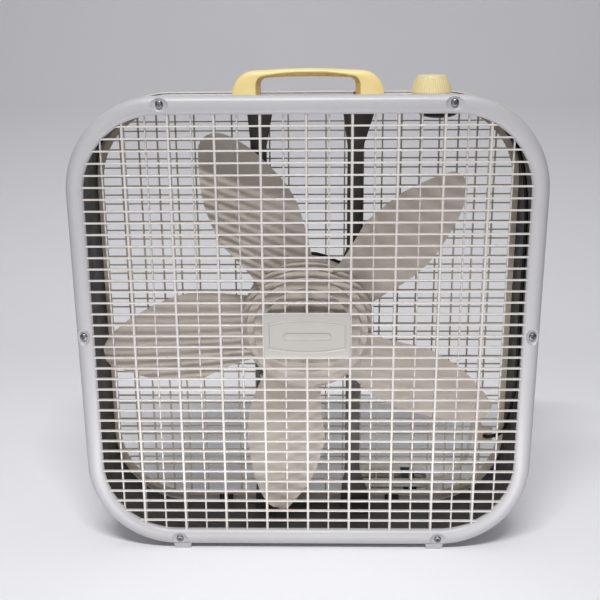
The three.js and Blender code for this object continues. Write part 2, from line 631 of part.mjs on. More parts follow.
function plug() {
  const { x, z, length, width, height } = PLUG;
  const shape = new THREE.Shape();
  shape.moveTo(0, -width / 2);
  shape.lineTo(length * 0.55, -width / 2);
  shape.quadraticCurveTo(length * 0.8, -width / 2, length, -4.5);
  shape.lineTo(length, 4.5);
  shape.quadraticCurveTo(length * 0.8, width / 2, length * 0.55, width / 2);
  shape.lineTo(0, width / 2);
  shape.closePath();
  node('plug_body', plank(shape, 0, height, 4), 'cord_white').position.set(x, HANK.y, z);
  const prongs = { plug_prong_wide: [6.35, 7.9], plug_prong_narrow: [-6.35, 6.3] };
  for (const [name, [side, tall]] of Object.entries(prongs)) {
    const blade = block(-17, -GAP, -0.75, 0.75, -tall / 2, tall / 2);
    node(name, blade, 'brass').position.set(x, HANK.y + side, z + height / 2);
  }
}

frontGrille();
rearGrille();
caseBand();
rotor();
motor();
motorBracket();
strut('strut_left', -1);
strut('strut_right', 1);
strutScrews();
grilleScrews();
handle();
controls();
capacitor();
leads();
cord();
hank();
plug();

export default fan;
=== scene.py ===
"""A 20-inch box fan on the CAD frame: lattices, moulded blade, controls, cord and materials."""
import json
import math

import bmesh
import bpy
import numpy as np
from mathutils import Matrix, Vector


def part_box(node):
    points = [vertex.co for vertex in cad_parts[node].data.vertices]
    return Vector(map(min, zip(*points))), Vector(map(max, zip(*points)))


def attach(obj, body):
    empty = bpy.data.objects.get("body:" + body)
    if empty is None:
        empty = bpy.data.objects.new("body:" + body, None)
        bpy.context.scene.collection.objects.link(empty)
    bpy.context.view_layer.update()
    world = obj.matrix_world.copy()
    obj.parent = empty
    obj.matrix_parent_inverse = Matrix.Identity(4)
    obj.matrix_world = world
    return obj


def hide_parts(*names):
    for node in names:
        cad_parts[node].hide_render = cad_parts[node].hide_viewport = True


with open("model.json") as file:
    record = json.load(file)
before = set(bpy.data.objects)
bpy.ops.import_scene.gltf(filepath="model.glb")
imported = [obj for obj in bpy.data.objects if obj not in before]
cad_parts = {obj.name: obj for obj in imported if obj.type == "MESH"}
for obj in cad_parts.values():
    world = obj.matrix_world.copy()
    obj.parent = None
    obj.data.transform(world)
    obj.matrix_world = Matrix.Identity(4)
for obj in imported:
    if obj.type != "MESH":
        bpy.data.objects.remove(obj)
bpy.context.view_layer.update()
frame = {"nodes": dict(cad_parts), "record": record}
MM = 0.001

# Places and sizes taken from the frame, in millimetres
joints = {joint["name"]: joint for joint in frame["record"]["behaviour"]["joints"]}
grille_low, grille_high = (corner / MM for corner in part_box("front_grille"))
band_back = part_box("case_band")[1].y / MM
MID = joints["fan_spin"]["pos_m"][2] / MM
TOP = joints["knob_turn"]["pos_m"][2] / MM
KNOB_X = joints["knob_turn"]["pos_m"][0] / MM
FRONT = grille_low.y
HALF_X = grille_high.x
HALF_Z = grille_high.z - MID
FOOT_DROP = MID - HALF_Z

# Mouldings. The rear one is the front one turned half round, so depths run back from FRONT in both
CORNER = 105
BORDER_SIDE = 19
BORDER_TOP = 20
CROWN = 7.6
RIM_DEPTH = 16
LIP_DEPTH = 8.5
LIP_WIDTH = 7.5
LIP_ROUND = 0.4
HOLLOW = 5
SKIRT = 1.4
CROWN_STEPS = 24
BAR_SETBACK = 4
BAR_TUCK = 1.5
# Spacing of the bars, and each kind of bar as (width, set-back, depth)
FRONT_ROW = 13.138
FRONT_COLUMN = 24.81
REAR_ROW = 10.87
REAR_COLUMN = 22.3
FRONT_ROW_BAR = (1.9, 0, 3.4)
FRONT_THICK_BAR = (2.9, 0.35, 9.5)
FRONT_THIN_BAR = (1.9, 2.4, 2.8)
REAR_ROW_BAR = (1.4, 0, 2.6)
REAR_COLUMN_BAR = (1.7, 0.3, 4.2)
# Screws as (x, z) from the middle, and the name plate's half width and half height
FRONT_SCREWS = [(-156, 260), (157, 260), (-256, 0), (256, 0), (-157, -260), (158, -260)]
REAR_SCREWS = [(-110, 260), (110, 260), (-256, 60), (256, 60), (-110, -260), (110, -260)]
SCREW_FLOOR = 3.3
FOOT_X = 154
BADGE_HALF = (49.6, 26.25)
BADGE_FRONT = FRONT + BAR_SETBACK - 1.2

# Band of the case, and its bent ears that take the grille screws
BAND_X = 254.2
BAND_Z = TOP - MID
BAND_CORNER = 97
WALL = 1.2
EAR_Y = FRONT + LIP_DEPTH + 0.3
EAR_HALF = 9
EAR_END_X = 258
EAR_END_Z = 254

# Leads inside the case
SUPPLY_LEAD = [
    (228, 47, 104), (231, 42.5, 104.5), (238, 40, 107), (245, 36, 112), (249, 28, 122),
    (249.1, 10, 150), (249.1, -8, 180), (249.1, -16, 220), (249.1, -16, 300), (249, -16, 380),
    (247.5, -12, 430), (240, -4, 472), (226, 2, 498), (205, 4, 519), (187, 4, 529.4),
    (176, 4, 533.3), (168, 3, 534.1), (153, 3, 534.1),
]
MOTOR_LEAD = [
    (135, 11.4, 535.5), (135, 19, 535.5), (134, 26, 534.2), (126, 32, 531), (110, 36, 529),
    (90, 38, 526), (72, 40, 519), (61, 40, 502), (57, 38, 480), (56.5, 35, 450), (56.5, 35, 405),
    (55, 39, 380), (50.5, 42, 362), (47, 42, 348), (42, 39, 338.5), (33, 36.5, 341),
    (20, 35.5, 347), (4, 35, 350), (-8, 34, 343), (-12, 32.5, 326), (-11, 32, 306),
]
SUPPLY_LEAD_RADIUS = 2.4
MOTOR_LEAD_RADIUS = 2

# Rotor
TIP = 249.5
HUB = 79
BLADES = 5
BLADE_PHASE = 117.3
BLADE_MID = -2
BLADE_ROOT = 72
BLADE_STRIPS = 18
ROOT_TILT = 29
TILT_LOST = 13

# Cord: 1.83 m, 6 mm across
CORD = 6
PRONG_HOLE = 1.6
LAYER = 6.7
TURN_STEPS = 24
TURN_EASE_FROM = 0.72
ROUTE = [
    (228, 80.6, 104), (228, 90, 103.8), (228, 100, 102), (227.8, 110, 97.5), (227.5, 119, 90),
    (227, 125.5, 79), (226.5, 129, 66), (226, 131, 53), (224.5, 132, 40), (220, 132, 27),
    (212, 131, 16), (200.5, 129, 8.6), (188, 126.5, 5.2), (176, 124.4, 4.3), (164.2, 123.5, 4.3),
]


# Mesh building, in millimetres
class Build:
    """Gathers shells of vertices and faces into one mesh. A face's kind is its material's index."""

    def __init__(self):
        self.verts, self.faces, self.kinds = [], [], []

    def add(self, verts, faces, kind=0):
        start = len(self.verts)
        self.verts += [tuple(v) for v in verts]
        self.faces += [tuple(start + i for i in face) for face in faces]
        self.kinds += [kind] * len(faces)
        return self

    def rings(self, rings, around=True, along=False, caps=True, kind=0):
        """Joins equal rings: around closes each ring, along joins the last ring to the first."""
        count, size = len(rings), len(rings[0])
        verts = [p for ring in rings for p in ring]
        faces = []
        for i in range(count if along else count - 1):
            for j in range(size if around else size - 1):
                a, b = i * size + j, i * size + (j + 1) % size
                c, d = ((i + 1) % count) * size + (j + 1) % size, ((i + 1) % count) * size + j
                faces.append((a, b, c, d))
        if caps and not along:
            faces.append(tuple(range(size))[::-1])
            faces.append(tuple((count - 1) * size + j for j in range(size)))
        return self.add(verts, faces, kind)

    def finish(self, name, *materials, smooth=30, place=None):
        mesh = bpy.data.meshes.new(name)
        mesh.from_pydata([[c * MM for c in v] for v in self.verts], [], self.faces)
        for material in materials:
            mesh.materials.append(material)
        if len(materials) > 1:
            mesh.polygons.foreach_set("material_index", self.kinds)
        return finish_mesh(name, mesh, smooth, place)


def finish_mesh(name, mesh, smooth, place=None):
    mesh.validate()
    outward(mesh)
    if place is not None:
        mesh.transform(place)
    if smooth:
        mesh.polygons.foreach_set("use_smooth", [True] * len(mesh.polygons))
        mesh.set_sharp_from_angle(angle=math.radians(smooth))
    obj = bpy.data.objects.new(name, mesh)
    bpy.context.scene.collection.objects.link(obj)
    return obj


def outward(mesh):
    """Turns every shell of a mesh to face outwards."""
    work = bmesh.new()
    work.from_mesh(mesh)
    bmesh.ops.remove_doubles(work, verts=work.verts, dist=1e-7)
    bmesh.ops.recalc_face_normals(work, faces=work.faces)
    work.to_mesh(mesh)
    work.free()


def shift(x, y, z):
    return Matrix.Translation((x * MM, y * MM, z * MM))


def lathe(build, profile, sides, axis="y", centre=(0, 0, 0), kind=0):
    """Turns a profile of (radius, along) pairs about Y or Z through centre."""
    rings = []
    for radius, along in profile:
        ring = []
        for i in range(sides):
            angle = 2 * math.pi * (i + 0.37) / sides
            u, v = radius * math.cos(angle), radius * math.sin(angle)
            point = (u, along, v) if axis == "y" else (u, v, along)
            ring.append(tuple(p + c for p, c in zip(point, centre)))
        rings.append(ring)
    closed = profile[0] == profile[-1]
    if closed:
        rings.pop()
    return build.rings(rings, along=closed, kind=kind)


def box(build, low, high, kind=0):
    (x0, y0, z0), (x1, y1, z1) = low, high
    rings = [[(x, y0, z0), (x, y1, z0), (x, y1, z1), (x, y0, z1)] for x in (x0, x1)]
    return build.rings(rings, kind=kind)


def arc(cx, cy, radius, start, end, steps):
    """Points on an arc between two angles in degrees."""
    angles = [math.radians(start + (end - start) * i / steps) for i in range(steps + 1)]
    return [(cx + radius * math.cos(a), cy + radius * math.sin(a)) for a in angles]


def smooth_curve(points, per_span):
    """Centripetal Catmull-Rom curve through points, as three.js draws it."""
    pts = [Vector(p) for p in points]
    pts = [pts[0] * 2 - pts[1], *pts, pts[-1] * 2 - pts[-2]]
    out = []
    for i in range(1, len(pts) - 2):
        p0, p1, p2, p3 = pts[i - 1 : i + 3]
        t0, t1 = 0, (p1 - p0).length ** 0.5
        t2 = t1 + (p2 - p1).length ** 0.5
        t3 = t2 + (p3 - p2).length ** 0.5
        for k in range(per_span):
            t = t1 + (t2 - t1) * k / per_span
            a1 = p0 * ((t1 - t) / (t1 - t0)) + p1 * ((t - t0) / (t1 - t0))
            a2 = p1 * ((t2 - t) / (t2 - t1)) + p2 * ((t - t1) / (t2 - t1))
            a3 = p2 * ((t3 - t) / (t3 - t2)) + p3 * ((t - t2) / (t3 - t2))
            b1 = a1 * ((t2 - t) / (t2 - t0)) + a2 * ((t - t0) / (t2 - t0))
            b2 = a2 * ((t3 - t) / (t3 - t1)) + a3 * ((t - t1) / (t3 - t1))
            out.append(b1 * ((t2 - t) / (t2 - t1)) + b2 * ((t - t1) / (t2 - t1)))
    out.append(pts[-2])
    return out


# Materials
def linear(colour):
    """An 8-bit sRGB colour as the linear RGBA that the shader takes."""
    return [((c / 255 + 0.055) / 1.055) ** 2.4 if c > 10 else c / 255 / 12.92 for c in colour] + [1]


def material(name, colour, other, roughness, spread, bump, metallic=0.0, grain=900.0,
             mottle=12.0, coat=0.0, coat_roughness=0.1, specular=0.5):
    """Moulded, painted or metal surface: mottled colour, uneven gloss and a fine grain."""
    made = bpy.data.materials.new(name)
    made.use_nodes = True
    tree = made.node_tree
    new, link = tree.nodes.new, tree.links.new
    shader = tree.nodes["Principled BSDF"]
    shader.inputs["Metallic"].default_value = metallic
    shader.inputs["Coat Weight"].default_value = coat
    shader.inputs["Coat Roughness"].default_value = coat_roughness
    shader.inputs["Specular IOR Level"].default_value = specular
    place = new("ShaderNodeTexCoord").outputs["Object"]
    blotch = new("ShaderNodeTexNoise")
    blotch.inputs["Scale"].default_value = mottle
    blotch.inputs["Detail"].default_value = 5
    blotch.inputs["Roughness"].default_value = 0.62
    link(place, blotch.inputs["Vector"])
    tint = new("ShaderNodeValToRGB")
    tint.color_ramp.elements[0].position = 0.3
    tint.color_ramp.elements[1].position = 0.72
    tint.color_ramp.elements[0].color = linear(other)
    tint.color_ramp.elements[1].color = linear(colour)
    link(blotch.outputs["Fac"], tint.inputs["Fac"])
    link(tint.outputs["Color"], shader.inputs["Base Color"])
    smear = new("ShaderNodeTexNoise")
    smear.inputs["Scale"].default_value = mottle * 4.5
    smear.inputs["Detail"].default_value = 4
    link(place, smear.inputs["Vector"])
    gloss = new("ShaderNodeMapRange")
    gloss.inputs["From Min"].default_value = 0.3
    gloss.inputs["From Max"].default_value = 0.7
    gloss.inputs["To Min"].default_value = max(0.03, roughness - spread)
    gloss.inputs["To Max"].default_value = roughness + spread
    link(smear.outputs["Fac"], gloss.inputs["Value"])
    link(gloss.outputs["Result"], shader.inputs["Roughness"])
    fine = new("ShaderNodeTexNoise")
    fine.inputs["Scale"].default_value = grain
    fine.inputs["Detail"].default_value = 3
    link(place, fine.inputs["Vector"])
    relief = new("ShaderNodeBump")
    relief.inputs["Strength"].default_value = bump
    relief.inputs["Distance"].default_value = 0.0006
    link(fine.outputs["Fac"], relief.inputs["Height"])
    link(relief.outputs["Normal"], shader.inputs["Normal"])
    return made


# Each as name, main colour, second colour, roughness and its spread
WHITE = material("white_moulding", (178, 177, 180), (172, 170, 172), 0.45, 0.03,
                 coat=0.25, bump=0.012, mottle=7, coat_roughness=0.28)
PLATE = material("name_plate", (171, 168, 163), (165, 161, 155), 0.34, 0.04,
                 coat=0.2, bump=0.012, coat_roughness=0.2)
BARS = material("white_bars", (203, 199, 198), (193, 187, 181), 0.3, 0.07, coat=0.2, bump=0.015)
AGED = material("aged_moulding", (204, 194, 178), (186, 174, 156), 0.38, 0.08, bump=0.02)
NET = material("aged_lattice", (194, 183, 166), (175, 164, 147), 0.42, 0.08, bump=0.02)
REAR_WHITE = material("rear_moulding", (212, 209, 203), (202, 197, 188), 0.26, 0.06,
                      coat=0.3, bump=0.015)
BLADE = material("blade_plastic", (192, 184, 174), (183, 174, 163), 0.4, 0.07,
                 bump=0.02, mottle=9)
IVORY = material("ivory_plastic", (236, 215, 152), (227, 204, 135), 0.45, 0.05,
                 coat=0.2, bump=0.01, coat_roughness=0.14)
KNOB_IVORY = material("knob_ivory", (220, 206, 158), (210, 194, 140), 0.36, 0.05,
                      coat=0.3, bump=0.01, coat_roughness=0.2)
# A darker, browner ivory for the bevel round the handle's opening: painted shade
IVORY_SHADED = material("ivory_painted_shade", (214, 180, 104), (198, 162, 88), 0.3, 0.05,
                      coat=0.2, bump=0.01)
CASE_OUT = material("case_paint_outside", (226, 226, 229), (214, 213, 216), 0.2, 0.05,
                    bump=0.015, coat=0.5)
CASE_IN = material("case_paint_inside", (50, 50, 49), (37, 36, 35), 0.55, 0.1, bump=0.04)
STEEL_DARK = material("strut_paint", (76, 73, 69), (55, 52, 49), 0.42, 0.1,
                      metallic=0.3, bump=0.04)
ENAMEL = material("motor_enamel", (34, 33, 33), (22, 21, 21), 0.36, 0.08, bump=0.03, coat=0.2)
ZINC = material("zinc_plate", (150, 151, 154), (112, 110, 108), 0.34, 0.1,
                metallic=1.0, bump=0.03, mottle=90)
BRIGHT = material("ground_steel", (186, 187, 189), (160, 160, 161), 0.24, 0.06,
                  metallic=1.0, bump=0.02)
LAMINATE = material("lamination_steel", (112, 108, 103), (84, 80, 76), 0.5, 0.1,
                    metallic=0.8, bump=0.1)
COPPER = material("winding_copper", (186, 108, 62), (140, 74, 40), 0.34, 0.08,
                  metallic=0.9, bump=0.2)
BLACK = material("black_plastic", (26, 25, 24), (17, 16, 16), 0.45, 0.08,
                 bump=0.03, specular=0.35)
STRAP = material("tie_strap", (30, 38, 78), (20, 26, 58), 0.7, 0.1,
                 bump=0.5, grain=1600, mottle=60)
ALUMINIUM = material("cast_aluminium", (190, 192, 195), (160, 161, 164), 0.4, 0.08,
                     metallic=1.0, bump=0.05)
VINYL = material("cord_vinyl", (232, 230, 224), (220, 216, 207), 0.42, 0.07,
                 bump=0.03, mottle=30)
BRASS = material("plug_brass", (206, 176, 108), (180, 148, 84), 0.26, 0.06,
                 metallic=1.0, bump=0.02, mottle=120)


def painted_top_light(made):
    """Painted light: faces of a material that look up are made up to 2.3 times paler, as if lit
    from above.
    """
    tree = made.node_tree
    up = tree.nodes.new("ShaderNodeSeparateXYZ")
    tree.links.new(tree.nodes.new("ShaderNodeNewGeometry").outputs["Normal"], up.inputs["Vector"])
    top_light = tree.nodes.new("ShaderNodeMapRange")
    top_light.inputs["From Min"].default_value = 0.3
    top_light.inputs["From Max"].default_value = 0.95
    top_light.inputs["To Min"].default_value = 1.0
    top_light.inputs["To Max"].default_value = 2.3
    tree.links.new(up.outputs["Z"], top_light.inputs["Value"])
    lift = tree.nodes.new("ShaderNodeHueSaturation")
    tree.links.new(top_light.outputs["Result"], lift.inputs["Value"])
    tree.links.new(tree.nodes["Color Ramp"].outputs["Color"], lift.inputs["Color"])
    tree.links.new(lift.outputs["Color"], tree.nodes["Principled BSDF"].inputs["Base Color"])


# The case's dark inside is made paler where it faces up: painted light.
painted_top_light(CASE_IN)


# Camera: in front of the fan, a little above its top and looking down at it
camera = bpy.data.objects.new("camera", bpy.data.cameras.new("camera"))
bpy.context.scene.collection.objects.link(camera)
camera.data.sensor_width = 36
camera.data.lens = 51.9
camera.location = (11.1 * MM, -989.2 * MM, 586.4 * MM)
camera.rotation_euler = [math.radians(angle) for angle in (73.934, 0.388, 1.046)]
camera.data.clip_start = 0.01
bpy.context.scene.camera = camera


def rounded_path(half_x, half_z, radius, corner_steps, side_steps):
    """Points round a rounded rectangle in X and Z, the same number on each side and corner."""
    path = []
    centres = [(half_x - radius, half_z - radius, 0), (radius - half_x, half_z - radius, 90),
               (radius - half_x, radius - half_z, 180), (half_x - radius, radius - half_z, 270)]
    for i, (cx, cz, start) in enumerate(centres):
        corner = arc(cx, cz, radius, start, start + 90, corner_steps)
        nx, nz, turn = centres[(i + 1) % 4]
        following = arc(nx, nz, radius, turn, turn, 1)[0]
        path += corner
        for k in range(1, side_steps):
            t = k / side_steps
            path.append((corner[-1][0] + (following[0] - corner[-1][0]) * t,
                         corner[-1][1] + (following[1] - corner[-1][1]) * t))
    return path


def carved(obj, cutter):
    """Takes the cutter out of obj with an exact boolean and drops the cutter."""
    modifier = obj.modifiers.new("pockets", "BOOLEAN")
    modifier.object = cutter
    modifier.operation = "DIFFERENCE"
    modifier.solver = "EXACT"
    graph = bpy.context.evaluated_depsgraph_get()
    mesh = bpy.data.meshes.new_from_object(obj.evaluated_get(graph))
    mesh.name = obj.name
    obj.modifiers.clear()
    obj.data = mesh
    mesh.polygons.foreach_set("use_smooth", [True] * len(mesh.polygons))
    mesh.set_sharp_from_angle(angle=math.radians(32))
    bpy.data.objects.remove(cutter)
    return obj


def keep(piece, body, nodes):
    """Piece rides on body and stands for one or more nodes, which it hides."""
    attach(piece, body)
    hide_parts(*([nodes] if isinstance(nodes, str) else nodes))


def wire(name, points, radius, made):
    """A round wire or cord along a list of points."""
    data = bpy.data.curves.new(name, "CURVE")
    data.dimensions = "3D"
    spline = data.splines.new("POLY")
    spline.points.add(len(points) - 1)
    for point, place in zip(spline.points, points):
        point.co = [c * MM for c in place] + [1]
    data.bevel_depth = radius * MM
    data.bevel_resolution = 4
    data.use_fill_caps = True
    data.materials.append(made)
    obj = bpy.data.objects.new(name, data)
    bpy.context.scene.collection.objects.link(obj)
    return obj


# Cord and what is on it
def hank_box():
    return [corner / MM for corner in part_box("cord_hank")]


def eased_share(share):
    """A share from 0 to 1 that starts and ends softly."""
    share = min(1.0, max(0.0, share))
    return share * share * (3 - 2 * share)


def hank_turns():
    """The folded cord: three layers of two turns each, laid beside and on each other."""
    low, high = hank_box()
    centre_x, centre_y = (low.x + high.x) / 2, (low.y + high.y) / 2
    flat = (high.x - low.x - (high.y - low.y)) / 2
    outer = (high.y - low.y) / 2 - CORD / 2
    inner = outer - CORD - 0.2
    turns = [(outer, 0), (inner, 0), (inner, 1), (outer, 1), (outer, 2), (inner, 2)]
    points = []
    for index, (radius, layer) in enumerate(turns):
        after = turns[min(index + 1, len(turns) - 1)]
        for step in range(TURN_STEPS):
            t = step / TURN_STEPS
            ease = eased_share((t - TURN_EASE_FROM) / (1 - TURN_EASE_FROM))
            spread = radius + (after[0] - radius) * ease
            height = low.z + CORD / 2 + (layer + (after[1] - layer) * ease) * LAYER
            x, y = stadium(t, flat, spread)
            points.append((centre_x + x, centre_y + y, height))
    return points, centre_x + flat, centre_y, inner, low.z + CORD / 2 + 2 * LAYER


def stadium(t, flat, radius):
    """A point a share t of the way round a long loop, from its rear right end leftwards."""
    half_turn = math.pi * radius
    around = 4 * flat + 2 * half_turn
    s = t * around
    if s < 2 * flat:
        return flat - s, radius
    s -= 2 * flat
    if s < half_turn:
        angle = math.pi / 2 + s / radius
        return -flat + radius * math.cos(angle), radius * math.sin(angle)
    s -= half_turn
    if s < 2 * flat:
        return -flat + s, -radius
    angle = -math.pi / 2 + (s - 2 * flat) / radius
    return flat + radius * math.cos(angle), radius * math.sin(angle)


def cord():
    """From the relief down to the floor behind the fan, then into the hank, and up to the plug."""
    turns, end_x, centre_y, inner, height = hank_turns()
    plug_low, plug_high = (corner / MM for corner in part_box("plug_body"))
    back = (plug_high.x, (plug_low.y + plug_high.y) / 2, (plug_low.z + plug_high.z) / 2)
    run = end_x - back[0]
    finish = []
    for share in (0.0, 0.14, 0.28, 0.42, 0.56, 0.7, 0.85, 1.02):
        across, climb = eased_share(share), eased_share((share - 0.3) / 0.7)
        finish.append((end_x - run * share, centre_y + inner * (1 - across),
                       height + (back[2] - height) * climb))
    obj = wire("power_cord", smooth_curve([*ROUTE[:-1], *turns, *finish], 3), CORD / 2, VINYL)
    keep(obj, "case", ["cord_tube", "cord_hank"])
    return obj


def relief():
    """Ribbed, tapered strain relief where the cord leaves the rear lattice."""
    low, high = (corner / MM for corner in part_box("cord_relief"))
    x, z = (low.x + high.x) / 2, (low.z + high.z) / 2
    long, wide = high.y - low.y, (high.x - low.x) / 2
    profile = [(CORD / 2 - 0.4, low.y), (wide, low.y), (wide, low.y + 2.4),
               (wide - 0.5, low.y + 3)]
    ribs = 7
    for k in range(ribs):
        start = low.y + 4 + k * (long - 6) / ribs
        radius = wide - 0.9 - 1.75 * k / (ribs - 1)
        profile += [(radius - 0.75, start), (radius, start + 0.5), (radius, start + 1.7),
                    (radius - 0.75, start + 2.2)]
    profile += [(CORD / 2 + 0.5, high.y - 1), (CORD / 2 + 0.35, high.y), (CORD / 2 - 0.4, high.y)]
    profile.append(profile[0])
    turned = lathe(Build(), profile, 32, centre=(x, 0, z))
    piece = turned.finish("cord_relief_ribbed", VINYL, smooth=35)
    keep(piece, "case", "cord_relief")
    return piece


def tie():
    """A strap closed tightly round the hank, with its flap on top."""
    low, high = (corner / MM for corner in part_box("cord_tie"))
    top = hank_box()[0].z + CORD + 2 * LAYER + 0.5
    wide, half = (high.x - low.x) / 2, (high.y - low.y) / 2
    x, middle = (low.x + high.x) / 2, (low.y + high.y) / 2
    centre_z = (low.z + top) / 2
    tall = (top - low.z) / 2
    outer = rounded_path(half, tall, 8.5, 8, 6)
    inner = rounded_path(half - 0.7, tall - 0.55, 8, 8, 6)
    swell = [(-wide, 0.25), (0.4 - wide, 0), (wide - 0.4, 0), (wide, 0.25)]
    rings = []
    for (oy, oz), (iy, iz) in zip(outer, inner):
        ring = [(x + a, middle + oy + (iy - oy) * k, centre_z + oz + (iz - oz) * k)
                for a, k in swell]
        ring += [(x + wide, middle + iy, centre_z + iz), (x - wide, middle + iy, centre_z + iz)]
        rings.append(ring)
    build = Build().rings(rings, along=True)
    section = [(-1, -0.4), (-1, 0.5), (-0.94, 1), (0.94, 1), (1, 0.5), (1, -0.4)]
    flap = [[(x + a * (wide - 0.5), middle - 6 + y, top + 0.1 + h * k) for a, h in section]
            for y, k in ((-9, 0.5), (-8, 1), (8, 1), (9, 0.5))]
    build.rings(flap)
    piece = build.finish("cord_tie_band", STRAP, smooth=40)
    keep(piece, "case", "cord_tie")
    return piece


def plug():
    """Moulded flat plug: waisted grip, ribbed neck, two blades with rounded, drilled ends."""
    low, high = (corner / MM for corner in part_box("plug_body"))
    y, z = (low.y + high.y) / 2, (low.z + high.z) / 2
    wide, tall = (high.y - low.y) / 2, (high.z - low.z) / 2
    # Stations along the plug, as (distance, share of its half width, share of its half height)
    stations = [(0, 0.9, 0.84), (0.5, 0.97, 0.95), (1.4, 1, 1), (6, 1, 1), (8, 0.95, 0.97),
                (12, 0.8, 0.9), (16, 0.7, 0.84), (18, 0.6, 0.78)]
    for k in range(4):
        here, size, drop = 18.6 + 2.1 * k, 0.52 - 0.05 * k, 0.07 * k
        stations += [(here, size - 0.07, 0.72 - drop), (here + 0.4, size, 0.8 - drop),
                     (here + 1.4, size - 0.01, 0.79 - drop), (here + 1.7, size - 0.07, 0.7 - drop)]
    length = high.x - low.x
    stations = [s for s in stations if s[0] < length] + [(length, 0.3, 0.52)]
    rings = []
    for along, across, up in stations:
        shape = rounded_path(wide * across, tall * up, tall * up * 0.62, 8, 3)
        rings.append([(low.x + along, y + a, z + b) for a, b in shape])
    body = Build().rings(rings).finish("plug_moulded", VINYL, smooth=32)
    keep(body, "case", "plug_body")
    pieces = [body]
    for name in ("plug_prong_wide", "plug_prong_narrow"):
        a, b = (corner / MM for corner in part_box(name))
        middle, half = (a.z + b.z) / 2, (b.z - a.z) / 2
        outline = [(b.x, half), (b.x, -half)]
        for t in [math.radians(-90 - 18 * k) for k in range(11)]:
            outline.append((a.x + half * 0.75 + half * 0.75 * math.cos(t), half * math.sin(t)))
        rings = [[(x, d, middle + h * k) for x, h in outline]
                 for d, k in ((a.y, 0.94), (a.y + 0.2, 1), (b.y - 0.2, 1), (b.y, 0.94))]
        prong = Build().rings(rings).finish(f"{name}_blade", BRASS, smooth=40)
        hole = [(0, a.y - 1), (PRONG_HOLE, a.y - 1), (PRONG_HOLE, b.y + 1), (0, b.y + 1)]
        drill = lathe(Build(), hole, 24, centre=(a.x + 4.2, 0, middle))
        carved(prong, drill.finish("prong_hole", BRASS, smooth=0))
        keep(prong, "case", name)
        pieces.append(prong)
    return pieces


cord_piece = cord()
relief()
tie()
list(plug())


# Grilles
def rim_loops():
    """Loops round a rim: over its crown, round the inner lip, through the hollow for the band."""
    def loop(half_x, half_z, radius, depth):
        path = rounded_path(half_x, half_z, radius, 22, 10)
        return [(x, FRONT + depth, MID + z) for x, z in path]

    def across(share, depth):
        side = BORDER_SIDE * share
        return loop(HALF_X - side, HALF_Z - BORDER_TOP * share, CORNER - side, depth)

    loops = []
    for k in range(CROWN_STEPS + 1):
        angle = math.pi * k / CROWN_STEPS
        loops.append(across(0.5 - 0.5 * math.cos(angle), CROWN * (1 - math.sin(angle))))
    lip = (HALF_X - BORDER_SIDE + LIP_WIDTH, HALF_Z - BORDER_TOP + LIP_WIDTH,
           CORNER - BORDER_SIDE + LIP_WIDTH)
    skirt = (HALF_X - SKIRT, HALF_Z - SKIRT, CORNER - SKIRT)
    loops += [across(1, LIP_DEPTH - LIP_ROUND), across(0.98, LIP_DEPTH), loop(*lip, LIP_DEPTH),
              loop(*lip, HOLLOW), loop(*skirt, HOLLOW), loop(*skirt, RIM_DEPTH),
              across(0, RIM_DEPTH)]
    return loops


def pocket_cutter(screws):
    """Flared screw pockets with a clearance hole in each floor."""
    profile = [(0, -3), (13, -3), (10.3, -0.1), (9.5, 0.5), (6.5, 3), (6, SCREW_FLOOR),
               (2, SCREW_FLOOR), (2, 9), (0, 9)]
    profile = [(radius, FRONT + depth) for radius, depth in profile]
    build = Build()
    for x, z in screws:
        lathe(build, profile, 40, centre=(x, 0, MID + z))
    return build.finish("pocket_cutter", WHITE)


def reach(across, limit_across, limit_along, radius):
    """Half length of a bar at a distance across the opening, out to its rounded corner."""
    beyond = abs(across) - (limit_across - radius)
    if beyond <= 0:
        return limit_along
    return limit_along - radius + math.sqrt(max(0.0, radius**2 - beyond**2))


def bar(build, low, high, across, width, front, depth, upright):
    """One moulded bar with rounded front edges, upright or level, from low to high."""
    soft = min(width, depth) * 0.42
    section = [(-width / 2, depth), *arc(soft - width / 2, soft, soft, 180, 270, 3),
               *arc(width / 2 - soft, soft, soft, 270, 360, 3), (width / 2, depth)]
    rings = []
    for end in (low, high):
        if upright:
            rings.append([(across + a, front + b, MID + end) for a, b in section])
        else:
            rings.append([(end, front + b, MID + across + a) for a, b in section])
    build.rings(rings)


def lattice(build, rows, columns, front):
    """Bars across the opening. Rows and columns are (place, width, set-back, depth)."""
    opening_x, opening_z = HALF_X - BORDER_SIDE, HALF_Z - BORDER_TOP
    radius = CORNER - BORDER_SIDE
    for place, width, back, depth in columns:
        half = reach(place, opening_x, opening_z, radius) + BAR_TUCK
        bar(build, -half, half, place, width, front + back, depth, True)
    for place, width, back, depth in rows:
        half = reach(place, opening_z, opening_x, radius) + BAR_TUCK
        bar(build, -half, half, place, width, front + back, depth, False)


def feet(name, made):
    """Two tapered feet under the rim."""
    build = Build()
    outline = [(-11.4, 2), (-9.6, -FOOT_DROP + 0.6), (-9, -FOOT_DROP), (9, -FOOT_DROP),
               (9.6, -FOOT_DROP + 0.6), (11.4, 2)]
    sections = [(FRONT + 2.4, 0.92), (FRONT + 3.1, 1.0), (FRONT + RIM_DEPTH, 1.0)]
    for x in (-FOOT_X, FOOT_X):
        build.rings([[(x + a * k, y, FOOT_DROP + b * (k if b < 0 else 1)) for a, b in outline]
                     for y, k in sections])
    return build.finish(name, made, smooth=30)


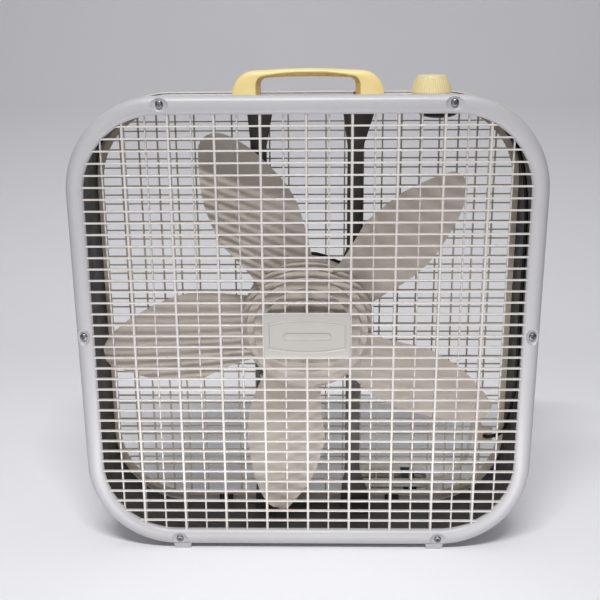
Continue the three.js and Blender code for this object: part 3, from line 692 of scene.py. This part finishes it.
def badge():
    """Blank name plate: a recessed panel with bowed edges, and a plain raised bar in it."""
    side = 16

    def edge_loop(half_x, half_z, bow, depth):
        """A loop at a depth behind the plate's face, its level edges bowed outwards."""
        corners = [(half_x, -half_z), (half_x, half_z), (-half_x, half_z), (-half_x, -half_z)]
        loop = []
        for i, (x, z) in enumerate(corners):
            nx, nz = corners[(i + 1) % 4]
            for k in range(side):
                t = k / side
                swell = bow * (1 - (2 * t - 1) ** 2) if i % 2 else 0
                height = MID + (z + (nz - z) * t) + math.copysign(swell, z)
                loop.append((x + (nx - x) * t, BADGE_FRONT + depth, height))
        return loop

    half_x, half_z = BADGE_HALF
    outside = [(0, 6), (0, 0.8), (0.25, 0.25), (0.8, 0)]
    panel = [(45.2, 16.2, 4.7, 0), (44.6, 15.7, 4.6, -0.35), (43.9, 15.1, 4.5, -0.35),
             (43.2, 14.5, 4.4, 0.3), (42.6, 14.0, 4.3, 1.0), (41.6, 13.2, 4.2, 1.1)]
    loops = [edge_loop(half_x - inset, half_z - inset, 0, depth) for inset, depth in outside]
    build = Build().rings(loops + [edge_loop(*step) for step in panel])
    bar_loops = []
    for inset, depth in ((0, 1.3), (0, 0.5), (0.3, 0.2), (0.9, 0.05)):
        shape = rounded_path(27 - inset, 3.4 - inset, 3.3 - inset, 8, 2)
        bar_loops.append([(x, BADGE_FRONT + depth, MID + z) for x, z in shape])
    build.rings(bar_loops)
    return build.finish("front_badge", PLATE, smooth=28)


def rim(name, outside, inside):
    """A rim whose inner ledge, from the lip to the hollow, has its own finish."""
    loops = rim_loops()
    build = Build().rings(loops, along=True)
    around = len(loops[0])
    ledge = range((len(loops) - 7) * around, (len(loops) - 4) * around)
    build.kinds = [int(index in ledge) for index in range(len(build.kinds))]
    return build.finish(name, outside, inside, smooth=32)


def front_grille():
    """Rim with screw pockets, every bar of the lattice, name plate and feet."""
    rim_piece = rim("front_rim", WHITE, WHITE)
    carved(rim_piece, pocket_cutter(FRONT_SCREWS))
    front = FRONT + BAR_SETBACK
    rows = [(k * FRONT_ROW, *FRONT_ROW_BAR) for k in range(-18, 19)]
    thick = [(2 * k * FRONT_COLUMN, *FRONT_THICK_BAR) for k in range(-4, 5)]
    thin = [((2 * k + 1) * FRONT_COLUMN, *FRONT_THIN_BAR) for k in range(-5, 5)]
    bars = Build()
    lattice(bars, rows, thick + thin, front)
    net = bars.finish("front_lattice", BARS, smooth=40)
    for piece in (rim_piece, net, badge(), feet("front_feet", WHITE)):
        keep(piece, "case", "front_grille")


def rear_grille():
    """The same mouldings turned to the back, with a finer lattice and the cord's seat in it."""
    turn = Matrix.Rotation(math.pi, 4, "Z")
    rim_piece = rim("rear_rim", REAR_WHITE, AGED)
    carved(rim_piece, pocket_cutter([(-x, z) for x, z in REAR_SCREWS]))
    rim_piece.data.transform(turn)
    stands = feet("rear_feet", REAR_WHITE)
    stands.data.transform(turn)
    front = FRONT + BAR_SETBACK
    rows = [((k + 0.5) * REAR_ROW, *REAR_ROW_BAR) for k in range(-22, 22)]
    columns = [(k * REAR_COLUMN, *REAR_COLUMN_BAR) for k in range(-10, 11)]
    bars = Build()
    lattice(bars, rows, columns, front)
    low, high = (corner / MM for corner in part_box("cord_relief"))
    seat_x, seat_z = -(low.x + high.x) / 2, (low.z + high.z) / 2
    plate = [[(seat_x + x, front + depth, seat_z + z)
              for x, z in rounded_path(half, half, 3, 4, 2)]
             for half, depth in ((11, 4), (11, 0.6), (10.4, 0))]
    bars.rings(plate)
    net = bars.finish("rear_lattice", NET, smooth=40, place=turn)
    for piece in (rim_piece, net, stands):
        keep(piece, "case", "rear_grille")


# Case band
def case_band():
    """Bent steel band, dark inside, with an ear for each grille screw."""
    build = Build()
    depth = band_back
    outer = rounded_path(BAND_X, BAND_Z, BAND_CORNER, 24, 12)
    inner = rounded_path(BAND_X - WALL, BAND_Z - WALL, BAND_CORNER - WALL, 24, 12)
    shell = [[(x, y, MID + z) for x, z in path]
             for y, path in ((-depth, inner), (-depth, outer), (depth, outer), (depth, inner))]
    build.rings(shell, along=True)
    count = len(outer)
    build.kinds = [int(index >= 3 * count) for index in range(4 * count)]
    for screws, y in ((FRONT_SCREWS, EAR_Y), (REAR_SCREWS, -EAR_Y - WALL)):
        for x, z in screws:
            if abs(x) > BAND_X:
                near, far = sorted(math.copysign(end, x) for end in (BAND_X - WALL, EAR_END_X))
                box(build, (near, y, MID + z - EAR_HALF), (far, y + WALL, MID + z + EAR_HALF))
            else:
                near, far = sorted(math.copysign(end, z) for end in (BAND_Z - WALL / 2, EAR_END_Z))
                box(build, (x - EAR_HALF, y, MID + near), (x + EAR_HALF, y + WALL, MID + far), 1)
    piece = build.finish("case_shell", CASE_OUT, CASE_IN, smooth=30)
    keep(piece, "case", "case_band")


# Rotor: the two edges of a blade as (radius, degrees from its middle line)
CCW_EDGE = [(70, 22.5), (79, 20.5), (89, 18.7), (99, 17.9), (115, 17.4), (130, 17.2), (143, 17),
            (165, 14), (190, 11), (216, 7), (236, 3.9), (243, 2.9), (247, 1.9), (TIP, 0.5)]
CW_EDGE = [(70, -33), (79, -31), (89, -29), (100, -27.2), (120, -25), (143, -22.4), (165, -19),
           (190, -14.3), (216, -10), (236, -6.1), (243, -4.4), (247, -3.2), (TIP, -1.5)]


def blade(build, turn):
    """One cupped blade, steep at its root and flatter at its tip."""
    radii = np.concatenate([np.linspace(BLADE_ROOT, 236, 34), np.linspace(238, TIP, 7)])
    left = np.interp(radii, *zip(*CCW_EDGE))
    right = np.interp(radii, *zip(*CW_EDGE))
    front, back = [], []
    for radius, a_left, a_right in zip(radii, left, right):
        share_out = (radius - BLADE_ROOT) / (TIP - BLADE_ROOT)
        tilt = math.tan(math.radians(ROOT_TILT - TILT_LOST * share_out))
        row_front, row_back = [], []
        for k in range(BLADE_STRIPS + 1):
            share = k / BLADE_STRIPS
            angle = math.radians(a_right + (a_left - a_right) * share)
            side = radius * math.sin(angle)
            cup = 5.0 * (1 - share_out * 0.5) * (1 - (2 * share - 1) ** 2)
            middle = BLADE_MID - side * tilt + cup - 2.5
            edge = 1 - (2 * share - 1) ** 6
            thick = (0.5 + 0.75 * edge) * (1 - 0.25 * share_out)
            spin = angle + math.radians(turn)
            x, z = radius * math.cos(spin), MID + radius * math.sin(spin)
            row_front.append((x, middle - thick, z))
            row_back.append((x, middle + thick, z))
        front.append(row_front)
        back.append(row_back)
    build.rings([f + b[::-1] for f, b in zip(front, back)])


def rotor():
    """Stepped hub with its blades. The profile is (radius, depth) and goes back round inside."""
    build = Build()
    profile = [(0, -36), (36, -36)]
    nose = 0.9
    for radius, top, drop in ((38, -36, 2.6), (50, -33.2, 3.2), (61.5, -29, 4.2),
                              (70.5, -22.6, 5.5)):
        profile += [(radius + nose * math.sin(t), top + nose - nose * math.cos(t))
                    for t in (0.0, 0.5, 1.0, 1.5)]
        profile.append((radius + 1.6, top + drop))
    profile += [(76, -14.5), (77.8, -12.6), (78.8, -9.5), (HUB, -6), (HUB, 11.4), (78.6, 12),
                (76.6, 12), (76.2, 11.4), (76.2, -7), (69, -14), (60, -22), (49, -28.5),
                (38, -32), (10.5, -32), (10.5, -26), (4.4, -26), (4.4, -33), (0, -33)]
    lathe(build, profile, 96, centre=(0, 0, MID))
    for k in range(BLADES):
        blade(build, BLADE_PHASE - 360 / BLADES * k)
    piece = build.finish("fan_rotor", BLADE, smooth=26)
    keep(piece, "rotor", "fan_blade")


# Screws
def screw_mesh(name, head, tall, length):
    """A pan-head screw along +Y, its seat at the origin, with a cross recess in its head."""
    build = Build()
    profile = [(0, -tall), (head * 0.45, -tall * 0.98), (head * 0.75, -tall * 0.84),
               (head * 0.93, -tall * 0.58), (head, -tall * 0.25), (head, 0), (1.4, 0),
               (1.4, length - 1.5), (0.3, length), (0, length)]
    lathe(build, profile, 28)
    obj = build.finish(name, ZINC, smooth=35)
    arm, slot = head * 0.56, 0.6
    quarter = [(slot, arm), (-slot, arm), (-slot, slot)]
    plus = [*quarter, *((-z, x) for x, z in quarter), *((-x, -z) for x, z in quarter),
            *((z, -x) for x, z in quarter)]
    rings = [[(x * k, y, z * k) for x, z in plus]
             for y, k in ((-tall - 1, 1.1), (-tall * 0.3, 0.6))]
    return carved(obj, Build().rings(rings).finish("cross_cutter", ZINC, smooth=0))


def screws():
    """Every grille screw, each turned a little differently."""
    plans = []
    floor = FRONT + SCREW_FLOOR
    for i, (x, z) in enumerate(FRONT_SCREWS):
        spin = Matrix.Rotation(0.4 * i, 4, "Y")
        plans.append((f"front_screw_{i + 1}", (x, floor, MID + z), spin))
    turn = Matrix.Rotation(math.pi, 4, "Z")
    for i, (x, z) in enumerate(REAR_SCREWS):
        spin = turn @ Matrix.Rotation(0.5 * i, 4, "Y")
        plans.append((f"rear_screw_{i + 1}", (x, -floor, MID + z), spin))
    pattern = screw_mesh("screw_pattern", head=4.3, tall=2.4, length=8)
    for name, place, spin in plans:
        mesh = pattern.data.copy()
        mesh.transform(shift(*place) @ spin)
        piece = bpy.data.objects.new(f"{name}_detail", mesh)
        bpy.context.scene.collection.objects.link(piece)
        keep(piece, "case", name)
    bpy.data.objects.remove(pattern)


# Handle and controls
def handle():
    """Carrying handle: domed shoulders, a thin rounded bar, and a bevel round the opening."""
    low, high = (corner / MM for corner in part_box("handle"))
    half, tall, depth = (high.x - low.x) / 2, high.z - TOP, (high.y - low.y) / 2
    middle = (low.x + high.x) / 2
    # Left halves, drawn on a handle of this half width and height, then stretched to the CAD's
    drawn_half, drawn_tall = 85, 28.3
    outline = [(0, 0), (0.6, 4), (2.7, 9.8), (5.6, 15), (9.8, 19.4), (14, 22.2), (18.7, 24.2),
               (26, 25.4), (35, 25.8), (50, 26.6), (66, 27.3), (85, 27.6)]
    opening = [(32, 0), (32, 4), (32, 8), (32.2, 11), (33, 13.6), (34.6, 15.8), (37, 17.2),
               (40.5, 17.8), (46, 18.2), (56, 18.6), (68, 18.9), (85, 19)]
    outer, inner = ([(p.x, p.z) for p in smooth_curve([(x - drawn_half, 0, z) for x, z in side], 3)]
                    for side in (outline, opening))
    outer += [(-x, z) for x, z in outer[-2::-1]]
    inner += [(-x, z) for x, z in inner[-2::-1]]
    stretch, lift = half / drawn_half, (tall + 0.5) / drawn_tall
    bevel = 5.4
    rings = []
    for (ox, oz), (ix, iz) in zip(outer, inner):
        width = math.hypot(ox - ix, oz - iz)
        ledge = min(bevel, width * 0.68)
        front = [((width - ledge) * (1 - math.cos(t)), -depth + 7.5 * (1 - math.sin(t)))
                 for t in [math.radians(9 * k) for k in range(11)]]
        front += [(width - ledge + 0.7, -depth + 0.25), (width - 0.9, -depth + 6.8),
                  (width - 0.25, -depth + 8), (width, -depth + 9.5)]
        section = front + [(inset, -y) for inset, y in reversed(front)]
        ring = []
        for inset, y in section:
            share = inset / width
            ring.append((middle + (ox + (ix - ox) * share) * stretch, y,
                         TOP + 0.3 + (oz + (iz - oz) * share) * lift))
        rings.append(ring)
    build = Build().rings(rings)
    size = len(rings[0])
    count = len(front)
    # The faces of the bevel round the opening take the darker ivory, as painted shade
    shaded_bevel = range(count - 4, count + 3)
    build.kinds = [int(index % size in shaded_bevel) for index in range(len(build.faces))]
    piece = build.finish("handle_grip", IVORY, IVORY_SHADED, smooth=38)
    keep(piece, "case", "handle")


def knob():
    """Speed knob: tapered skirt with fine ribs, a crowned top and a raised pointer."""
    profile = [(8, 0.9), (22.3, 0.9), (22.75, 1.3), (22.8, 2.2), (22.5, 3.6), (21.8, 6.2),
               (20.8, 9.2), (19.5, 12.6), (18.2, 15.8), (17.2, 18.2), (16.5, 19.3), (15.3, 20.1),
               (12, 20.75), (8, 21.1), (4, 21.25), (0, 21.3)]
    sides, ribs, rib_depth = 240, 48, 0.26
    rings = []
    for radius, up in profile:
        ribbed = rib_depth if 3 < up < 18.5 else 0
        ring = []
        for i in range(sides):
            angle = 2 * math.pi * i / sides
            r = radius - ribbed * (1 + math.cos(ribs * angle))
            ring.append((KNOB_X + r * math.cos(angle), r * math.sin(angle), TOP + up))
        rings.append(ring)
    build = Build().rings(rings)
    section = [(-1, 2.2), (-1, 0.35), (-0.55, 0), (0.55, 0), (1, 0.35), (1, 2.2)]
    build.rings([[(KNOB_X + a * width, -out, TOP + up - drop) for a, drop in section]
                 for out, width, up in ((2, 0.5, 20.9), (3, 1.4, 21.9), (13, 1.4, 21.4),
                                        (15.2, 0.5, 19.9))])
    piece = build.finish("speed_knob_ribbed", KNOB_IVORY, smooth=30)
    keep(piece, "knob", "speed_knob")


def switch_cup():
    """Round dust cover over the switch, under the top of the case."""
    low, high = (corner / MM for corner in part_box("switch_cover"))
    x, wide = (low.x + high.x) / 2, (high.x - low.x) / 2
    base, lip = low.z, high.z
    profile = [(0, base), (5, base + 0.15), (10, base + 0.6), (15, base + 1.6),
               (18.6, base + 2.8), (wide - 2.1, base + 4.1), (wide - 1.3, base + 5),
               (wide - 0.4, lip - 1.2), (wide, lip - 1), (wide, lip), (wide - 1.4, lip),
               (wide - 2.4, base + 5.8), (15, base + 2.6), (0, base + 1.2)]
    turned = lathe(Build(), profile, 64, axis="z", centre=(x, 0, 0))
    piece = turned.finish("switch_cup", BLACK, smooth=30)
    keep(piece, "case", "switch_cover")


# Motor and steelwork
def bells():
    """Cast end bells with vent slots and a bearing boss."""
    # The profile is (radius, share of the way from the rim to the tip), and goes back round inside
    profile = [(49, 0), (49, 0.42), (48.6, 0.5), (46.8, 0.62), (43.5, 0.72), (38, 0.78), (30, 0.82),
               (20, 0.85), (14.5, 0.87), (13.2, 0.92), (12.6, 0.98), (11.8, 1), (9, 1), (9, 0.8),
               (14, 0.76), (30, 0.7), (42, 0.6), (45.6, 0.5), (46.6, 0.4), (46.6, 0), (49, 0)]
    vents, through = 12, 36
    for name, out in (("motor_bell_front", -1), ("motor_bell_rear", 1)):
        low, high = (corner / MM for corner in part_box(name))
        rim_y, tip_y = (high.y, low.y) if out < 0 else (low.y, high.y)
        deep = abs(rim_y - tip_y)
        turned = [(radius, rim_y + out * deep * share) for radius, share in profile]
        build = lathe(Build(), turned, 96, centre=(0, 0, MID))
        piece = build.finish(f"{name}_cast", ENAMEL, smooth=32)
        cutter = Build()
        for k in range(vents):
            angle = 2 * math.pi * k / vents + 0.13
            rings = []
            for r, half in ((22, 1.6), (24, 3.2), (38, 3.2), (40, 1.6)):
                corners = ((-half, -through), (half, -through), (half, through), (-half, through))
                rings.append([(r * math.cos(angle) - across * math.sin(angle),
                               (rim_y + tip_y) / 2 + y,
                               MID + r * math.sin(angle) + across * math.cos(angle))
                              for across, y in corners])
            cutter.rings(rings)
        carved(piece, cutter.finish("vent_cutter", ENAMEL, smooth=0))
        keep(piece, "case", name)


def eased(node, made, width):
    """A copy of a CAD node of the case with softened edges and smooth round faces."""
    work = bmesh.new()
    work.from_mesh(frame["nodes"][node].data)
    bmesh.ops.remove_doubles(work, verts=work.verts, dist=1e-6)
    bmesh.ops.dissolve_limit(work, angle_limit=math.radians(0.6), verts=work.verts,
                             edges=work.edges)
    edges = [edge for edge in work.edges if len(edge.link_faces) == 2
             and edge.calc_face_angle(0) > math.radians(35)]
    bmesh.ops.bevel(work, geom=edges, offset=width * MM, segments=2, profile=0.6, affect="EDGES",
                    clamp_overlap=True)
    mesh = bpy.data.meshes.new(f"{node}_eased")
    work.to_mesh(mesh)
    work.free()
    mesh.materials.append(made)
    mesh.polygons.foreach_set("use_smooth", [True] * len(mesh.polygons))
    mesh.set_sharp_from_angle(angle=math.radians(40))
    piece = bpy.data.objects.new(f"{node}_eased", mesh)
    bpy.context.scene.collection.objects.link(piece)
    keep(piece, "case", node)


for name, route, radius in (("supply_lead", SUPPLY_LEAD, SUPPLY_LEAD_RADIUS),
                            ("motor_lead", MOTOR_LEAD, MOTOR_LEAD_RADIUS)):
    lead = wire(f"{name}_wire", smooth_curve(route, 6), radius, BLACK)
    keep(lead, "case", name)
handle()
knob()
switch_cup()
bells()
for name in ("strut_left", "strut_right", "motor_bracket"):
    eased(name, STEEL_DARK, 0.35)
front_grille()
rear_grille()
case_band()
rotor()
screws()


# Materials of the CAD nodes that stay
NODE_MATERIALS = {
    "strut_steel": STEEL_DARK, "motor_black": ENAMEL, "lamination": LAMINATE, "copper": COPPER,
    "bare_steel": BRIGHT, "zinc": ZINC, "aluminium": ALUMINIUM, "black_plastic": BLACK,
    "cord_white": VINYL, "brass": BRASS, "ivory_plastic": IVORY, "front_moulding": WHITE,
    "rear_moulding": AGED, "case_paint": CASE_OUT, "blade_plastic": BLADE,
}
for subpart in frame["record"]["subparts"]:
    node = frame["nodes"][subpart["node"]]
    node.data.materials.clear()
    node.data.materials.append(NODE_MATERIALS[subpart["material_slot"]])


# Floor, backdrop and light
def stage():
    """One sheet: the floor, curving up into a wall behind the fan and another behind the camera."""
    near, far, tall, bend, half_width = -4100, 1400, 5000, 700, 14000
    profile = [(near, tall), *arc(near + bend, bend, bend, 180, 270, 24),
               *arc(far - bend, bend, bend, 270, 360, 24), (far, tall)]
    rings = [[(x, y, z) for y, z in profile] for x in (-half_width, half_width)]
    build = Build().rings(rings, around=False, caps=False)
    made = material("studio_sheet", (242, 242, 246), (237, 237, 241), 0.7, 0.05,
                    bump=0.02, mottle=0.6)
    # Painted shade: the sheet's colour darkens with height, to 0.66 of the floor's at 0.45 m up, so
    # the walls are darker than the floor
    tree = made.node_tree
    height = tree.nodes.new("ShaderNodeSeparateXYZ")
    tree.links.new(tree.nodes["Texture Coordinate"].outputs["Object"], height.inputs["Vector"])
    shade_with_height = tree.nodes.new("ShaderNodeMapRange")
    shade_with_height.inputs["From Max"].default_value = 0.45
    shade_with_height.inputs["To Min"].default_value = 1.0
    shade_with_height.inputs["To Max"].default_value = 0.66
    tree.links.new(height.outputs["Z"], shade_with_height.inputs["Value"])
    painted_wall_shade = tree.nodes.new("ShaderNodeHueSaturation")
    tree.links.new(shade_with_height.outputs["Result"], painted_wall_shade.inputs["Value"])
    tree.links.new(tree.nodes["Color Ramp"].outputs["Color"], painted_wall_shade.inputs["Color"])
    tree.links.new(painted_wall_shade.outputs["Color"], tree.nodes["Principled BSDF"].inputs["Base Color"])
    piece = build.finish("studio_sheet", made, smooth=60)


def light(name, energy, place, aim, size, size_y):
    """A rectangular light in metres and watts, turned towards aim."""
    data = bpy.data.lights.new(name, "AREA")
    data.energy = energy
    data.shape = "RECTANGLE"
    data.size = size
    data.size_y = size_y
    obj = bpy.data.objects.new(name, data)
    bpy.context.scene.collection.objects.link(obj)
    obj.location = place
    obj.rotation_euler = (Vector(aim) - Vector(place)).to_track_quat("-Z", "Y").to_euler()
    return obj


stage()
light("key", 51, (-0.1, -1.28, 2.45), (0, 0, 0.25), 1.3, 0.05)
light("overhead", 17, (0, -0.2, 2.9), (0, -0.1, 0), 2.4, 1.4)
# Light thrown back up by the floor. The camera doesn't see the lamp, so no bright strip shows
low_strip = light("floor_bounce", 1.3, (0, -0.24, 0.012), (0, -0.19, 0.3), 0.54, 0.08)
low_strip.visible_camera = False
light("wall_wash", 16, (0, -2.7, 2.3), (0, -4.1, 1.1), 4, 0.5)
light("front_fill", 6.7, (-0.5, -2.4, 0.8), (0, 0, 0.3), 1.8, 1.2)
world = bpy.data.worlds.new("studio")
world.use_nodes = True
world.node_tree.nodes["Background"].inputs["Color"].default_value = (0.86, 0.88, 0.93, 1)
world.node_tree.nodes["Background"].inputs["Strength"].default_value = 0.02
bpy.context.scene.world = world
bpy.context.scene.view_settings.view_transform = "Standard"
